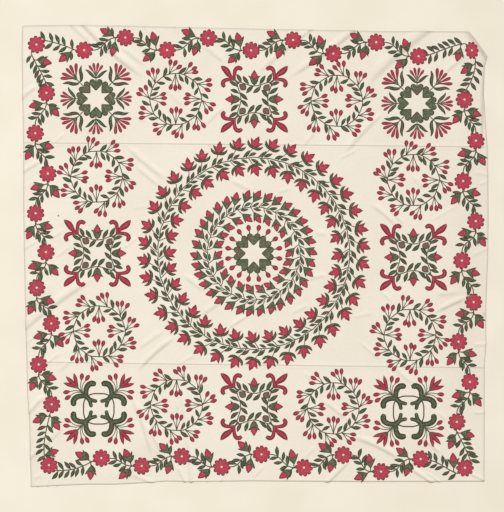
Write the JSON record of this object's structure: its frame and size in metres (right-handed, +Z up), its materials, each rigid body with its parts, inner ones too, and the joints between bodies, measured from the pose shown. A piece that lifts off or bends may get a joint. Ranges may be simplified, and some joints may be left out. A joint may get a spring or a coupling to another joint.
{
  "type": "bedspread",
  "caption": "Cream cotton bedspread with red and green appliqué flowers, laid flat with soft folds and one corner turned under.",
  "frame": {"origin": "centre of the bedspread's outline, on the surface it rests on", "axes": "+Z up out of the surface; +Y towards the top edge, which has the turned-under corner at its right; +X to the right along the seams"},
  "size_m": [2.4271, 2.4017, 0.0105],
  "materials": {
    "ground_cotton": "matte plain-woven cream cotton",
    "crimson_cotton": "matte crimson cotton with a fine print, of the sewn-on flowers",
    "green_cotton": "matte green and olive cotton with a fine print, of the sewn-on leaves and stems",
    "sewing_thread": "matte cotton sewing thread of the seams and hem"
  },
  "bodies": {
    "root": {"panel_top": "ground_cotton", "panel_middle": "ground_cotton", "panel_bottom": "ground_cotton"}
  },
  "joints": []
}
